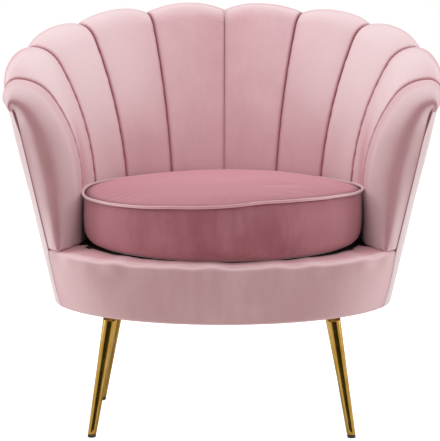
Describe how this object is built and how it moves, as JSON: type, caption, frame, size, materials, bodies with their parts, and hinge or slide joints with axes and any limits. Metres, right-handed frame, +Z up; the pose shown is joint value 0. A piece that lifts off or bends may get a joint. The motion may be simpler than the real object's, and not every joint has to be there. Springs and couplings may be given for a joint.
{
  "type": "scallop back chair",
  "caption": "Tub chair with a flared scalloped channel back, loose round seat cushion and splayed tapered metal legs.",
  "frame": {"origin": "middle of the chair's plan on the floor, midway between its sides and between its front and back", "axes": "+Z up, the seat faces -Y, +X is the sitter's left-hand arm as seen from the front at the right of the picture"},
  "size_m": [0.8154, 0.7454, 0.7519],
  "materials": {
    "velvet": "short pile pink velvet",
    "foam": "upholstery foam",
    "deck_cloth": "plain woven deck cloth over thin foam",
    "black_cloth": "thin non-woven dust cloth",
    "webbing": "woven elastic webbing",
    "plywood": "raw plywood",
    "fibreboard": "thin fibreboard",
    "gold_metal": "polished gold plated steel",
    "zinc_steel": "zinc plated steel plate",
    "glide_plastic": "moulded glide"
  },
  "bodies": {
    "chair": {"arm_front_pad_left": "velvet", "arm_front_pad_right": "velvet", "arm_post_left": "plywood", "arm_post_right": "plywood", "back_liner": "fibreboard", "base_ring_back": "plywood", "base_ring_front": "plywood", "base_ring_left": "plywood", "base_ring_right": "plywood", "block_back_left": "plywood", "block_back_right": "plywood", "block_front_left": "plywood", "block_front_right": "plywood", "channel_pad_1_left": "velvet", "channel_pad_1_right": "velvet", "channel_pad_2_left": "velvet", "channel_pad_2_right": "velvet", "channel_pad_3_left": "velvet", "channel_pad_3_right": "velvet", "channel_pad_4_left": "velvet", "channel_pad_4_right": "velvet", "deck_pad": "deck_cloth", "deck_ring_left": "plywood", "deck_ring_right": "plywood", "dust_cover": "black_cloth", "front_apron": "plywood", "front_border": "velvet", "leg_glide_back_left": "glide_plastic", "leg_glide_back_right": "glide_plastic", "leg_glide_front_left": "glide_plastic", "leg_glide_front_right": "glide_plastic", "leg_plate_back_left": "zinc_steel", "leg_plate_back_right": "zinc_steel", "leg_plate_front_left": "zinc_steel", "leg_plate_front_right": "zinc_steel", "leg_tube_back_left": "gold_metal", "leg_tube_back_right": "gold_metal", "leg_tube_front_left": "gold_metal", "leg_tube_front_right": "gold_metal", "outside_arm_cover_left": "velvet", "outside_arm_cover_right": "velvet", "outside_back_cover": "velvet", "rib_back": "plywood", "rib_left_arm": "plywood", "rib_left_rear": "plywood", "rib_right_arm": "plywood", "rib_right_rear": "plywood", "top_rail_back": "plywood", "top_rail_left": "plywood", "top_rail_right": "plywood", "webbing_crosswise": "webbing", "webbing_lengthwise": "webbing"},
    "cushion": {"cushion_bottom_panel": "velvet", "cushion_boxing": "velvet", "cushion_core": "foam", "cushion_piping_bottom": "velvet", "cushion_piping_top": "velvet", "cushion_top_panel": "velvet"}
  },
  "joints": [
    {"name": "cushion_lift", "type": "slide", "parent": "chair", "child": "cushion", "axis": [0, 0, 1], "range_m": [0, 0.3]}
  ]
}
